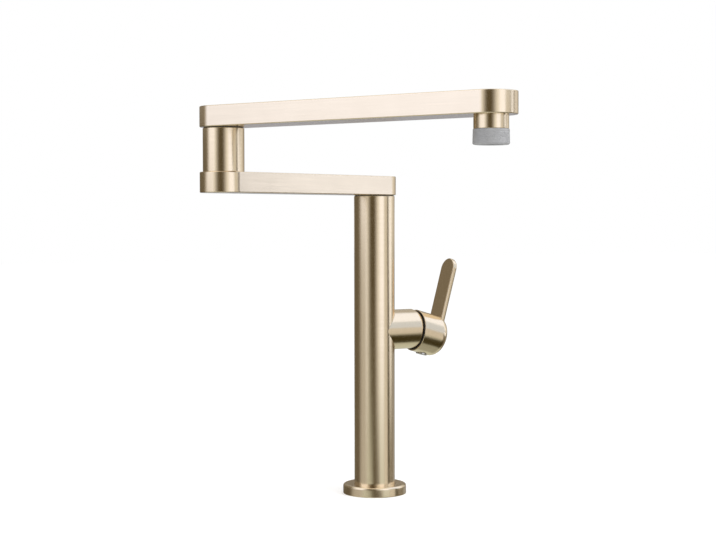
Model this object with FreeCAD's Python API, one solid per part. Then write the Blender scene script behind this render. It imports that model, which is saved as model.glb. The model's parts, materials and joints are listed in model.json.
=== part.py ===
import FreeCAD, Part
import math
import os

from FreeCAD import Vector

# Folding pot filler faucet that stands on a deck. Millimetres.
# +Z is up. The origin is the centre of the flange's underside, on the column's axis.
# +X points along the valve barrel, towards the lever. -Y is the side where the cook stands.

# Clearances
push_fit = 0.05
running_fit = 0.05
seat_gap = 0.2
moving_gap = 0.3
braze_gap = 0.05
reach_past = 1.0

# Base on the deck
flange_radius = 28.0
flange_height = 8.6
flange_edge_round = 2.0
flange_foot_round = 0.6
shoulder_radius = 22.0
shoulder_height = 3.5
insert_height = 34.0
gasket_rim = 1.8
gasket_width = 2.6
gasket_thickness = 2.0

# Threads for the hoses and studs, as plain holes of their core radius
inlet_thread_radius = 4.5
inlet_thread_depth = 14.0
stud_thread_radius = 2.5
stud_thread_depth = 12.0
stud_spacing = 18.0

# Column and the pipes in it
column_radius = 18.0
column_wall = 2.2
arm_underside = 264.0
inlet_pipe_radius = 4.0
outlet_pipe_radius = 6.0
pipe_wall = 1.0
pipe_socket_depth = 10.0
inlet_spacing = 14.0
outlet_pipe_setback = 5.0

# Valve manifold, with its seat square to the barrel's axis
handle_height = 144.5
manifold_radius = 14.9
manifold_back = 12.5
manifold_rim_past_column = 0.4
seat_distance = 8.0
inlet_pipe_stop = 7.0
outlet_pipe_stop = 9.0
inlet_bore_radius = 2.6
outlet_bore_radius = 3.0

# Ports that run from the seat through the cartridge's base and fixed disc
inlet_port_radius = 1.7
inlet_port_side = 4.4
inlet_port_rise = 2.8
outlet_port_radius = 2.2
outlet_port_drop = 4.2
port_seal_width = 1.4
port_seal_thickness = 1.6

# Mixing cartridge
cartridge_radius = 12.5
cartridge_wall = 2.15
cartridge_base_length = 5.8
fixed_disc_thickness = 3.0
moving_disc_thickness = 2.95
disc_gap = 0.05
moving_disc_radius = 7.0
mixing_pocket_radius = 4.0
mixing_pocket_depth = 1.5
carrier_length = 6.6
carrier_to_rotor = 0.6
rotor_length = 7.4
rotor_pivot_depth = 5.3
rotor_boss_radius = 8.1
rotor_boss_length = 2.9
shell_lip_length = 2.0
stem_pin_radius = 1.25
stem_pin_end_gap = 0.4
nut_length = 4.0
nut_thread_radius = 13.2
nut_notch_width = 3.0
nut_notch_depth = 1.5
nut_notch_count = 4

# Lever: all of it turns about a pivot inside the cartridge
lever_rest_tilt = 16.0
lever_full_tilt = 25.0
stem_radius = 3.0
stem_reach = 27.4
ball_radius = 3.6
ball_reach = 7.0
barrel_radius = 17.75
dome_radius = 18.9
dome_lip_distance = 10.5
cap_radius = 18.5
cap_rim_distance = 9.8
cap_bend_angle = 7.0
cap_length = 28.2
cap_end_round = 8.5
cap_cavity_gap = 0.5
glide_ring_show = 0.4
glide_ring_inset = 0.8
glide_ring_neck_inset = 0.4
glide_ring_neck_length = 3.0
blade_width = 19.0
blade_thickness = 5.2
blade_front_from_rim = 19.8
blade_tip_height = 73.8
blade_root_height = 8.0
blade_front_round = 0.8
blade_back_round = 2.6
index_plug_radius = 5.0
index_plug_distance = 13.7
index_plug_depth = 3.5
index_plug_proud = 0.8
grub_screw_radius = 2.5
grub_screw_length = 8.0
grub_socket_across_flats = 2.5
grub_socket_depth = 3.0

# Flat arms, with round ends
arm_width = 38.0
arm_height = 16.5
arm_wall = 2.2
arm_edge_round = 0.7
lower_arm_reach = 181.0
upper_arm_reach = 245.0
lower_arm_yaw = 196.0
upper_arm_yaw = -67.2
arm_tube_radius = 4.0
arm_tube_height = 9.5
arm_tube_entry = 3.5

# Swivels: a spigot under each turning arm stands in a socket
thrust_washer_thickness = 0.6
thrust_washer_inset = 0.7
spigot_radius = 9.0
spigot_bore_radius = 5.5
spigot_head_radius = 12.5
spigot_head_gap = 0.3
spigot_roof = 2.0
swivel_length = 14.4
o_ring_height = 1.8
o_ring_depth = 1.6
o_ring_count = 2
clip_thickness = 1.1
clip_groove_depth = 1.0
clip_width = 3.0
clip_opening_angle = 40.0
spigot_end_past_clip = 1.2
swivel_chamber_radius = 12.0
swivel_chamber_depth = 10.6
adapter_plug_height = 4.0
adapter_plate_height = 6.0

# Elbow between the arms
elbow_sleeve_radius = 16.5
elbow_sleeve_wall = 1.4
elbow_rise = 35.4
elbow_edge_round = 0.4
elbow_stem_radius = 9.0
clamp_screw_radius = 2.0
clamp_screw_head_radius = 4.0
clamp_screw_bite = 2.6
clamp_socket_across_flats = 2.5
clamp_socket_depth = 1.2

# Spout nozzle and aerator
nozzle_radius = 12.55
nozzle_height = 10.1
nozzle_edge_round = 0.4
outlet_block_radius = 13.0
outlet_stem_radius = 9.0
outlet_stem_drop = 4.5
outlet_stem_bore_radius = 6.5
aerator_thread_radius = 11.0
aerator_washer_thickness = 1.4
aerator_washer_inner_radius = 7.5
aerator_top_radius = 12.95
aerator_foot_radius = 13.3
aerator_height = 11.0
aerator_foot_round = 1.4
aerator_core_radius = 9.0
aerator_lip_width = 0.6
aerator_lip_height = 1.5
aerator_core_height = 9.6
aerator_hole_radius = 1.2
aerator_hole_pitch = 3.2
screen_thickness = 0.5
screen_hole_radius = 0.8

# Places worked out from the sizes above
column_bore = column_radius - column_wall
column_top = arm_underside - seat_gap - thrust_washer_thickness
elbow_foot = arm_underside + arm_height
upper_underside = elbow_foot + elbow_rise
elbow_top = upper_underside - seat_gap - thrust_washer_thickness
elbow_bore = elbow_sleeve_radius - elbow_sleeve_wall
pipe_bottom = insert_height - pipe_socket_depth
inlet_pipe_top = handle_height - inlet_pipe_stop
outlet_pipe_bottom = handle_height + outlet_pipe_stop
inlet_offset = inlet_spacing / 2
swivel_bore = spigot_radius + running_fit
swivel_drop = swivel_length + swivel_chamber_depth
adapter_top = column_top - swivel_drop
outlet_pipe_top = adapter_top - adapter_plate_height / 2

# Places along the barrel, counted from the column's axis
manifold_front = column_radius + manifold_rim_past_column
base_start = seat_distance + seat_gap
fixed_disc_start = base_start + cartridge_base_length
moving_disc_start = fixed_disc_start + fixed_disc_thickness + disc_gap
carrier_start = moving_disc_start + moving_disc_thickness
carrier_end = carrier_start + carrier_length
rotor_start = carrier_end + carrier_to_rotor
rotor_end = rotor_start + rotor_length
pivot_distance = rotor_start + rotor_pivot_depth
lip_start = rotor_end + seat_gap
shell_end = lip_start + shell_lip_length
nut_end = shell_end + nut_length
barrel_end = pivot_distance + dome_lip_distance
shell_bore = cartridge_radius - cartridge_wall
rotor_radius = shell_bore - running_fit
barrel_bore = cartridge_radius + push_fit

# Places along the lever, counted from its pivot. The cap bends at the centre of its rim.
cap_bend = math.radians(cap_bend_angle)
rim_place = cap_rim_distance * math.cos(cap_bend)
cap_lift = cap_rim_distance * math.sin(cap_bend)
cap_end = rim_place + cap_length
cap_underside = cap_radius - cap_lift
blade_start = rim_place + blade_front_from_rim
index_plug_place = rim_place + index_plug_distance

origin = Vector(0, 0, 0)
along_x = Vector(1, 0, 0)
along_y = Vector(0, 1, 0)
along_z = Vector(0, 0, 1)
pivot = Vector(pivot_distance, 0, handle_height)
full_turn = 360.0
hexagon_sides = 6
hexagon_half_angle = math.pi / hexagon_sides
tolerance = 1e-4


# Shared shapes


def rod(radius, bottom, top, x=0.0, y=0.0):
    """Upright cylinder between two heights."""
    return Part.makeCylinder(radius, top - bottom, Vector(x, y, bottom))


def ring(outer, inner, bottom, top):
    """Upright ring round the Z axis."""
    return rod(outer, bottom, top).cut(rod(inner, bottom - reach_past, top + reach_past))


def rod_x(radius, start, end, y=0.0, rise=0.0):
    """Cylinder along the barrel's direction, placed from the barrel's axis."""
    return Part.makeCylinder(radius, end - start, Vector(start, y, handle_height + rise), along_x)


def ring_x(outer, inner, start, end):
    """Ring round the barrel's axis."""
    return rod_x(outer, start, end).cut(rod_x(inner, start - reach_past, end + reach_past))


def lever_rod(radius, start, end):
    """Cylinder round the lever's own axis, before it is tilted, placed from the pivot."""
    return rod_x(radius, pivot_distance + start, pivot_distance + end)


def rim_rod(radius, start, end):
    """Cylinder round the axis of the cap's rim, before it is tilted, placed from the pivot."""
    shape = lever_rod(radius, start, end)
    shape.rotate(pivot, along_y, -cap_bend_angle)
    return shape


def pivot_ball(radius):
    """Ball round the lever's pivot."""
    return Part.makeSphere(radius, pivot)


def box_x(start, end, half_width, low, high):
    """Box along the barrel, placed from the barrel's axis."""
    corner = Vector(start, -half_width, handle_height + low)
    return Part.makeBox(end - start, 2 * half_width, high - low, corner)


def hexagon_prism(across_flats, bottom, top):
    """Upright six-sided prism round the Z axis."""
    corner_radius = across_flats / 2 / math.cos(hexagon_half_angle)
    corners = []
    for step in range(hexagon_sides + 1):
        angle = 2 * step * hexagon_half_angle
        corners.append(Vector(corner_radius * math.cos(angle), corner_radius * math.sin(angle), bottom))
    face = Part.Face(Part.makePolygon(corners))
    return face.extrude(Vector(0, 0, top - bottom))


def stadium(reach, radius, bottom, top):
    """Flat bar with round ends, centred on the Z axis and on the point at its reach."""
    far_end = Vector(reach + radius, 0, bottom)
    near_end = Vector(-radius, 0, bottom)
    left = Part.makeLine(Vector(reach, radius, bottom), Vector(0, radius, bottom))
    right = Part.makeLine(Vector(0, -radius, bottom), Vector(reach, -radius, bottom))
    near = Part.Arc(Vector(0, radius, bottom), near_end, Vector(0, -radius, bottom)).toShape()
    far = Part.Arc(Vector(reach, -radius, bottom), far_end, Vector(reach, radius, bottom)).toShape()
    outline = Part.Wire([left, near, right, far])
    return Part.Face(outline).extrude(Vector(0, 0, top - bottom))


def edges_at_height(shape, height):
    """Edges that lie flat at one height."""
    found = []
    for edge in shape.Edges:
        box = edge.BoundBox
        if abs(box.ZMin - height) < tolerance and abs(box.ZMax - height) < tolerance:
            found.append(edge)
    return found


def tilted(shape):
    """Turn a lever piece from the barrel's axis to its rest tilt."""
    shape.rotate(pivot, along_y, lever_rest_tilt)
    return shape


def on_lower_arm(shape):
    """Place a piece of the lower arm, drawn along +X from the swivel at height zero."""
    shape.rotate(origin, along_z, lower_arm_yaw)
    shape.translate(Vector(0, 0, arm_underside))
    return shape


def elbow_point(height):
    """Point on the elbow's axis."""
    angle = math.radians(lower_arm_yaw)
    return Vector(lower_arm_reach * math.cos(angle), lower_arm_reach * math.sin(angle), height)


def at_elbow(shape):
    """Move a piece drawn round the Z axis, at its real height, to the elbow's axis."""
    shape.rotate(origin, along_z, lower_arm_yaw)
    shape.translate(elbow_point(0))
    return shape


def on_upper_arm(shape):
    """Place a piece of the upper arm, drawn along +X from the swivel at height zero."""
    shape.rotate(origin, along_z, upper_arm_yaw)
    shape.translate(elbow_point(upper_underside))
    return shape


# Base


def base_flange():
    body = rod(flange_radius, 0, flange_height)
    body = body.makeFillet(flange_edge_round, edges_at_height(body, flange_height))
    body = body.makeFillet(flange_foot_round, edges_at_height(body, 0))
    body = body.cut(rod(column_radius + push_fit, -reach_past, flange_height + reach_past))
    body = body.cut(rod(shoulder_radius + push_fit, -reach_past, shoulder_height + seat_gap))
    groove_outer = flange_radius - gasket_rim
    return body.cut(ring(groove_outer, groove_outer - gasket_width, -reach_past, gasket_thickness))


def base_gasket():
    outer = flange_radius - gasket_rim
    return ring(outer, outer - gasket_width, 0, gasket_thickness)


def base_insert():
    body = rod(shoulder_radius, 0, shoulder_height)
    body = body.fuse(rod(column_bore - push_fit, 0, insert_height))
    for side in (-1, 1):
        inlet_y = side * inlet_offset
        body = body.cut(rod(inlet_thread_radius, -reach_past, inlet_thread_depth, y=inlet_y))
        body = body.cut(rod(inlet_pipe_radius - pipe_wall, 0, insert_height, y=inlet_y))
        socket_radius = inlet_pipe_radius + push_fit
        body = body.cut(rod(socket_radius, pipe_bottom, insert_height + reach_past, y=inlet_y))
        stud_x = side * stud_spacing / 2
        body = body.cut(rod(stud_thread_radius, -reach_past, stud_thread_depth, x=stud_x))
    return body.removeSplitter()


# Column and pipes


def column_tube():
    body = ring(column_radius, column_bore, shoulder_height, column_top)
    return body.cut(rod_x(manifold_radius + push_fit, 0, column_radius + reach_past))


def pipe(radius, bottom, top, x, y):
    bore = rod(radius - pipe_wall, bottom - reach_past, top + reach_past, x, y)
    return rod(radius, bottom, top, x, y).cut(bore)


def hot_inlet_pipe():
    return pipe(inlet_pipe_radius, pipe_bottom, inlet_pipe_top, 0, -inlet_offset)


def cold_inlet_pipe():
    return pipe(inlet_pipe_radius, pipe_bottom, inlet_pipe_top, 0, inlet_offset)


def outlet_pipe():
    return pipe(outlet_pipe_radius, outlet_pipe_bottom, outlet_pipe_top, -outlet_pipe_setback, 0)


# Valve manifold and barrel


def valve_manifold():
    low = handle_height - manifold_radius - reach_past
    high = handle_height + manifold_radius + reach_past
    back = rod_x(manifold_radius, -manifold_back, 0).common(rod(column_bore - moving_gap, low, high))
    body = back.fuse(rod_x(manifold_radius, 0, manifold_front))
    body = body.cut(rod_x(barrel_bore, seat_distance, manifold_front + reach_past))
    for side in (-1, 1):
        pipe_y = side * inlet_offset
        port_y = side * inlet_port_side
        body = body.cut(rod(inlet_pipe_radius + push_fit, low, inlet_pipe_top, y=pipe_y))
        bore_top = handle_height + inlet_port_rise + inlet_port_radius
        body = body.cut(rod(inlet_bore_radius, inlet_pipe_top - reach_past, bore_top, y=pipe_y))
        port = rod_x(inlet_port_radius, 0, seat_distance + reach_past, port_y, inlet_port_rise)
        body = body.cut(port)
    outlet_x = -outlet_pipe_setback
    body = body.cut(rod(outlet_pipe_radius + push_fit, outlet_pipe_bottom, high, x=outlet_x))
    bore_bottom = handle_height - outlet_port_drop - outlet_port_radius
    body = body.cut(rod(outlet_bore_radius, bore_bottom, outlet_pipe_bottom + reach_past, x=outlet_x))
    port = rod_x(outlet_port_radius, outlet_x, seat_distance + reach_past, 0, -outlet_port_drop)
    return body.cut(port).removeSplitter()


def valve_barrel():
    straight = rod_x(barrel_radius, 0, pivot_distance)
    domed = rod_x(barrel_radius, pivot_distance, barrel_end).common(pivot_ball(dome_radius))
    body = straight.fuse(domed).removeSplitter()
    low = handle_height - barrel_radius - reach_past
    high = handle_height + barrel_radius + reach_past
    body = body.cut(rod(column_radius + braze_gap, low, high))
    body = body.cut(rod_x(manifold_radius + push_fit, 0, manifold_front + push_fit))
    body = body.cut(rod_x(barrel_bore, 0, barrel_end + reach_past))
    return body.cut(rod_x(nut_thread_radius, shell_end, barrel_end + reach_past))


# Mixing cartridge


def cut_ports(body, start, end):
    """Cut the two inlet ports and the outlet port through a piece of the cartridge."""
    for side in (-1, 1):
        port_y = side * inlet_port_side
        body = body.cut(rod_x(inlet_port_radius, start, end, port_y, inlet_port_rise))
    return body.cut(rod_x(outlet_port_radius, start, end, 0, -outlet_port_drop))


def port_seal(port_radius, y, rise):
    """Rubber ring round one port, between the seat and the cartridge's base."""
    seal_end = seat_distance + port_seal_thickness
    outer = rod_x(port_radius + port_seal_width, seat_distance, seal_end, y, rise)
    return outer.cut(rod_x(port_radius, seat_distance - reach_past, seal_end + reach_past, y, rise))


def cartridge_seals():
    seals = [port_seal(outlet_port_radius, 0, -outlet_port_drop)]
    for side in (-1, 1):
        seals.append(port_seal(inlet_port_radius, side * inlet_port_side, inlet_port_rise))
    return Part.makeCompound(seals)


def cartridge_base():
    body = rod_x(cartridge_radius, base_start, fixed_disc_start)
    body = cut_ports(body, seat_distance, fixed_disc_start + reach_past)
    seal_end = seat_distance + port_seal_thickness
    outlet_recess = outlet_port_radius + port_seal_width
    body = body.cut(rod_x(outlet_recess, seat_distance, seal_end, 0, -outlet_port_drop))
    for side in (-1, 1):
        recess_radius = inlet_port_radius + port_seal_width
        port_y = side * inlet_port_side
        body = body.cut(rod_x(recess_radius, seat_distance, seal_end, port_y, inlet_port_rise))
    return body


def fixed_disc():
    body = rod_x(shell_bore - push_fit, fixed_disc_start, fixed_disc_start + fixed_disc_thickness)
    return cut_ports(body, base_start, moving_disc_start)


def rest_slide():
    """Height of the moving disc above the barrel's axis at the rest tilt."""
    return ball_reach * math.sin(math.radians(lever_rest_tilt))


def moving_disc():
    body = rod_x(moving_disc_radius, moving_disc_start, carrier_start, 0, rest_slide())
    pocket_end = moving_disc_start + mixing_pocket_depth
    pocket_rise = rest_slide() - mixing_pocket_radius / 2
    pocket = rod_x(mixing_pocket_radius, fixed_disc_start, pocket_end, 0, pocket_rise)
    return body.cut(pocket)


def disc_carrier():
    body = rod_x(moving_disc_radius, carrier_start, carrier_end, 0, rest_slide())
    socket_floor = pivot_distance - ball_reach - ball_radius - moving_gap
    socket = rod_x(ball_radius + moving_gap, socket_floor, carrier_end + reach_past, 0, rest_slide())
    return body.cut(socket)


def stem_slot_half_height():
    """Half of the slot that lets the stem swing to its full tilt inside the rotor."""
    swing = math.radians(lever_full_tilt)
    longest = max(rotor_pivot_depth, rotor_length + rotor_boss_length - rotor_pivot_depth)
    return longest * math.tan(swing) + stem_radius / math.cos(swing) + moving_gap


def cartridge_rotor():
    body = rod_x(rotor_radius, rotor_start, rotor_end)
    body = body.fuse(rod_x(rotor_boss_radius, rotor_start, rotor_end + rotor_boss_length))
    cheek_start = carrier_start + seat_gap
    cheeks = rod_x(rotor_radius, cheek_start, rotor_start)
    guide_half_width = moving_disc_radius + moving_gap
    cheeks = cheeks.cut(box_x(cheek_start - reach_past, rotor_start + reach_past, guide_half_width,
                              -rotor_radius, rotor_radius))
    body = body.fuse(cheeks).removeSplitter()
    slot_half = stem_slot_half_height()
    slot_end = rotor_end + rotor_boss_length + reach_past
    body = body.cut(box_x(rotor_start - reach_past, slot_end, stem_radius + moving_gap,
                          -slot_half, slot_half))
    ball_swing = ball_reach * math.sin(math.radians(lever_full_tilt))
    ball_room = ball_swing + ball_radius + moving_gap
    ball_front = pivot_distance - ball_reach * math.cos(math.radians(lever_full_tilt)) + ball_radius
    body = body.cut(box_x(rotor_start - reach_past, ball_front + moving_gap, ball_radius + moving_gap,
                          -ball_room, ball_room))
    return body.cut(cross_pin(stem_pin_radius + push_fit, rotor_radius + reach_past))


def cross_pin(radius, half_length):
    """Cylinder through the pivot, square to the barrel."""
    start = Vector(pivot_distance, -half_length, handle_height)
    return Part.makeCylinder(radius, 2 * half_length, start, along_y)


def stem_pin():
    return cross_pin(stem_pin_radius, rotor_radius - stem_pin_end_gap)


def cartridge_shell():
    body = ring_x(cartridge_radius, shell_bore, fixed_disc_start, lip_start)
    lip = ring_x(cartridge_radius, rotor_boss_radius + moving_gap, lip_start, shell_end)
    return body.fuse(lip).removeSplitter()


def cartridge_nut():
    inner = rotor_boss_radius + 2 * moving_gap
    body = ring_x(nut_thread_radius - push_fit, inner, shell_end, nut_end)
    notch_start = nut_end - nut_notch_depth
    for step in range(nut_notch_count // 2):
        notch = box_x(notch_start, nut_end + reach_past, nut_notch_width / 2,
                      -nut_thread_radius, nut_thread_radius)
        notch.rotate(pivot, along_x, step * full_turn / nut_notch_count)
        body = body.cut(notch)
    return body


# Lever


def lever_stem():
    body = lever_rod(stem_radius, -ball_reach, stem_reach)
    ball = Part.makeSphere(ball_radius, pivot - along_x * ball_reach)
    body = body.fuse(ball).cut(cross_pin(stem_pin_radius + running_fit, ball_radius + reach_past))
    return tilted(body)


def grub_screw_start():
    """Distance of the grub screw's point from the lever's axis."""
    return stem_radius + push_fit


def below_lever(radius, start, end, place):
    """Cylinder square to the lever's axis, on its underside."""
    foot = pivot + along_x * place - along_z * start
    return Part.makeCylinder(radius, end - start, foot, along_z * -1)


def lever_cap():
    far_place = pivot_distance + cap_end
    body = rod_x(cap_radius, pivot_distance, far_place, 0, cap_lift)
    far_rim = [edge for edge in body.Edges if abs(edge.BoundBox.XMin - far_place) < tolerance]
    body = body.makeFillet(cap_end_round, far_rim)
    body = body.common(rim_rod(2 * cap_radius, cap_rim_distance, cap_rim_distance + 2 * cap_length))
    body = body.cut(pivot_ball(dome_radius + cap_cavity_gap))
    neck = cap_radius - glide_ring_inset - glide_ring_neck_inset
    neck_end = cap_rim_distance + glide_ring_neck_length
    body = body.cut(rim_rod(neck + push_fit, 0, neck_end + push_fit))
    body = body.cut(lever_rod(stem_radius + push_fit, 0, stem_reach + moving_gap))
    plug_floor = cap_underside - index_plug_depth
    body = body.cut(below_lever(index_plug_radius + push_fit, plug_floor, cap_radius + reach_past,
                                index_plug_place))
    body = body.cut(below_lever(grub_screw_radius + push_fit, 0, cap_radius, index_plug_place))
    return tilted(body.cut(blade_blank(push_fit)))


def blade_blank(margin):
    """Blade of the lever with a round top, grown by a margin all round."""
    half_width = blade_width / 2 + margin
    start = pivot_distance + blade_start - margin
    end = start + blade_thickness + 2 * margin
    shoulder = blade_tip_height - blade_width / 2
    body = box_x(start, end, half_width, blade_root_height - margin, shoulder)
    return body.fuse(rod_x(half_width, start, end, 0, shoulder)).removeSplitter()


def lever_blade():
    body = blade_blank(0)
    start = pivot_distance + blade_start
    end = start + blade_thickness
    root_top = handle_height + blade_root_height + tolerance
    for place, rounding in ((start, blade_front_round), (end, blade_back_round)):
        rims = []
        for edge in body.Edges:
            box = edge.BoundBox
            in_face = max(abs(box.XMin - place), abs(box.XMax - place)) < tolerance
            if in_face and box.ZMax > root_top:
                rims.append(edge)
        body = body.makeFillet(rounding, rims)
    return tilted(body)


def cap_glide_ring():
    outer = cap_radius - glide_ring_inset
    ring_start = cap_rim_distance - glide_ring_show
    neck_end = cap_rim_distance + glide_ring_neck_length
    body = rim_rod(outer, ring_start, cap_rim_distance)
    body = body.fuse(rim_rod(outer - glide_ring_neck_inset, ring_start, neck_end))
    body = body.cut(pivot_ball(dome_radius + moving_gap)).removeSplitter()
    return tilted(body)


def cap_grub_screw():
    start = grub_screw_start()
    body = below_lever(grub_screw_radius, start, start + grub_screw_length, index_plug_place)
    socket = hexagon_prism(grub_socket_across_flats, -reach_past, grub_socket_depth)
    socket.translate(pivot + along_x * index_plug_place - along_z * (start + grub_screw_length))
    return tilted(body.cut(socket))


def index_plug():
    floor = cap_underside - index_plug_depth
    return tilted(below_lever(index_plug_radius, floor, cap_underside + index_plug_proud, index_plug_place))


# Swivels


def swivel_socket(outer_radius, top):
    """Socket that a spigot turns in, with a chamber below for the spigot's clip."""
    bottom = top - swivel_drop
    body = ring(outer_radius, swivel_bore, bottom, top)
    return body.cut(rod(swivel_chamber_radius, bottom - reach_past, top - swivel_length))


def swivel_plug(outer_radius, bottom, top):
    """Piece that closes the socket's chamber from below, with a plug that stands in it."""
    body = rod(outer_radius, bottom, top)
    return body.fuse(rod(swivel_chamber_radius - push_fit, bottom, top + adapter_plug_height))


def thrust_washer(outer_radius, bottom):
    return ring(outer_radius - thrust_washer_inset, spigot_radius + moving_gap, bottom,
                bottom + thrust_washer_thickness)


def spigot_top():
    return -seat_gap - thrust_washer_thickness


def clip_top():
    return spigot_top() - swivel_length - moving_gap


def o_ring_heights():
    """Middle heights of the spigot's ring grooves, evenly spaced in its socket."""
    heights = []
    for step in range(o_ring_count):
        share = (step + 1) / (o_ring_count + 1)
        heights.append(spigot_top() - swivel_length * share)
    return heights


def swivel_spigot():
    """Spigot with its head on the arm's floor, drawn for a swivel at height zero."""
    head_top = arm_height - arm_wall - spigot_head_gap
    end = clip_top() - clip_thickness - spigot_end_past_clip
    body = rod(spigot_radius, end, arm_wall).fuse(rod(spigot_head_radius, arm_wall, head_top))
    body = body.cut(rod(spigot_bore_radius, end - reach_past, head_top - spigot_roof))
    for height in o_ring_heights():
        low = height - o_ring_height / 2
        groove_floor = spigot_radius - o_ring_depth
        body = body.cut(ring(spigot_radius + reach_past, groove_floor, low, low + o_ring_height))
    groove_floor = spigot_radius - clip_groove_depth
    low = clip_top() - clip_thickness
    body = body.cut(ring(spigot_radius + reach_past, groove_floor, low, clip_top()))
    return body.cut(tube_blank(arm_tube_radius + push_fit, 0, spigot_head_radius + reach_past))


def swivel_o_rings():
    rings = []
    for height in o_ring_heights():
        low = height - o_ring_height / 2
        rings.append(ring(spigot_radius, spigot_radius - o_ring_depth, low, low + o_ring_height))
    return Part.makeCompound(rings)


def swivel_clip():
    """Open spring clip in the spigot's groove."""
    groove_floor = spigot_radius - clip_groove_depth
    body = ring(groove_floor + clip_width, groove_floor, clip_top() - clip_thickness, clip_top())
    outer = groove_floor + clip_width + reach_past
    half = math.radians(clip_opening_angle / 2)
    low = clip_top() - clip_thickness - reach_past
    high = clip_top() + reach_past
    corners = [Vector(0, 0, low)]
    for side in (-1, 1):
        corners.append(Vector(outer, side * outer * math.tan(half), low))
    corners.append(corners[0])
    wedge = Part.Face(Part.makePolygon(corners)).extrude(Vector(0, 0, high - low))
    return body.cut(wedge)


def column_head():
    return swivel_socket(column_bore - push_fit, column_top)


def head_adapter():
    bottom = adapter_top - adapter_plate_height
    outlet_x = -outlet_pipe_setback
    body = swivel_plug(column_bore - push_fit, bottom, adapter_top)
    body = body.cut(rod(outlet_pipe_radius + push_fit, bottom - reach_past, outlet_pipe_top, x=outlet_x))
    bore_top = adapter_top + adapter_plug_height + reach_past
    return body.cut(rod(outlet_pipe_radius - pipe_wall, bottom, bore_top, x=outlet_x))


def column_thrust_washer():
    return thrust_washer(column_radius, column_top)


# Arms


def tube_blank(radius, start, end):
    """Cylinder along an arm, at the height of its water tube."""
    return Part.makeCylinder(radius, end - start, Vector(start, 0, arm_tube_height), along_x)


def arm_shell(reach):
    """Flat bar with round ends, hollow from below."""
    radius = arm_width / 2
    body = stadium(reach, radius, 0, arm_height)
    body = body.makeFillet(arm_edge_round, edges_at_height(body, arm_height))
    body = body.makeFillet(arm_edge_round, edges_at_height(body, 0))
    return body.cut(stadium(reach, radius - arm_wall, -reach_past, arm_height - arm_wall))


def arm_floor(reach):
    """Plate that closes an arm from below, with the hole for its spigot."""
    body = stadium(reach, arm_width / 2 - arm_wall - push_fit, 0, arm_wall)
    return body.cut(rod(spigot_radius + push_fit, -reach_past, arm_wall + reach_past))


def arm_tube(start, end):
    """Water tube between two blocks inside an arm, pushed into each."""
    body = tube_blank(arm_tube_radius, start, end)
    return body.cut(tube_blank(arm_tube_radius - pipe_wall, start - reach_past, end + reach_past))


def lower_arm_shell():
    body = arm_shell(lower_arm_reach)
    stem_hole = rod(elbow_stem_radius + push_fit, 0, arm_height + reach_past, x=lower_arm_reach)
    return on_lower_arm(body.cut(stem_hole))


def lower_arm_base_plate():
    body = arm_floor(lower_arm_reach)
    screw_hole = rod(clamp_screw_radius + push_fit, -reach_past, arm_wall + reach_past, x=lower_arm_reach)
    head_hole = clamp_head(push_fit)
    head_hole.translate(Vector(lower_arm_reach, 0, 0))
    return on_lower_arm(body.cut(screw_hole).cut(head_hole))


def clamp_head(margin):
    """Countersunk head of the clamp screw, flush with the plate at height zero."""
    head_height = clamp_screw_head_radius - clamp_screw_radius
    return Part.makeCone(clamp_screw_head_radius + margin, clamp_screw_radius + margin, head_height)


def elbow_clamp_screw():
    body = clamp_head(0).fuse(rod(clamp_screw_radius, 0, arm_wall + clamp_screw_bite))
    body = body.cut(hexagon_prism(clamp_socket_across_flats, 0, clamp_socket_depth))
    body.translate(Vector(lower_arm_reach, 0, 0))
    return on_lower_arm(body.removeSplitter())


def lower_arm_spigot():
    return on_lower_arm(swivel_spigot())


def lower_arm_o_rings():
    return on_lower_arm(swivel_o_rings())


def lower_arm_clip():
    return on_lower_arm(swivel_clip())


def lower_arm_tube():
    start = spigot_head_radius - arm_tube_entry
    return on_lower_arm(arm_tube(start, lower_arm_reach - elbow_stem_radius + arm_tube_entry))


# Elbow


def elbow_base():
    """Foot of the elbow: a disc on the arm, a stem down into it and a plug up into the socket."""
    seam = elbow_top - swivel_drop
    tube_height = arm_underside + arm_tube_height
    stem_foot = arm_underside + arm_wall
    body = swivel_plug(elbow_bore - push_fit, elbow_foot, seam)
    body = body.fuse(rod(elbow_stem_radius, stem_foot, elbow_foot))
    bore_radius = arm_tube_radius - pipe_wall
    body = body.cut(rod(bore_radius, tube_height, seam + adapter_plug_height + reach_past))
    bore_end = Vector(0, 0, tube_height)
    inward = along_x * -1
    body = body.cut(Part.makeCylinder(bore_radius, elbow_stem_radius + reach_past, bore_end, inward))
    socket_start = Vector(arm_tube_entry - elbow_stem_radius, 0, tube_height)
    socket_radius = arm_tube_radius + push_fit
    body = body.cut(Part.makeCylinder(socket_radius, arm_tube_entry + reach_past, socket_start, inward))
    screw_hole_top = stem_foot + clamp_screw_bite
    body = body.cut(rod(clamp_screw_radius + push_fit, stem_foot - reach_past, screw_hole_top))
    return at_elbow(body.removeSplitter())


def elbow_socket():
    return at_elbow(swivel_socket(elbow_bore - push_fit, elbow_top))


def elbow_sleeve():
    body = rod(elbow_sleeve_radius, elbow_foot, elbow_top)
    body = body.makeFillet(elbow_edge_round, edges_at_height(body, elbow_top))
    body = body.makeFillet(elbow_edge_round, edges_at_height(body, elbow_foot))
    return at_elbow(body.cut(rod(elbow_bore, elbow_foot - reach_past, elbow_top + reach_past)))


def elbow_thrust_washer():
    return at_elbow(thrust_washer(elbow_sleeve_radius, elbow_top))


# Upper arm


def upper_arm_shell():
    return on_upper_arm(arm_shell(upper_arm_reach))


def upper_arm_base_plate():
    body = arm_floor(upper_arm_reach)
    stem_hole = rod(outlet_stem_radius + push_fit, -reach_past, arm_wall + reach_past, x=upper_arm_reach)
    return on_upper_arm(body.cut(stem_hole))


def upper_arm_spigot():
    return on_upper_arm(swivel_spigot())


def upper_arm_o_rings():
    return on_upper_arm(swivel_o_rings())


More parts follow.
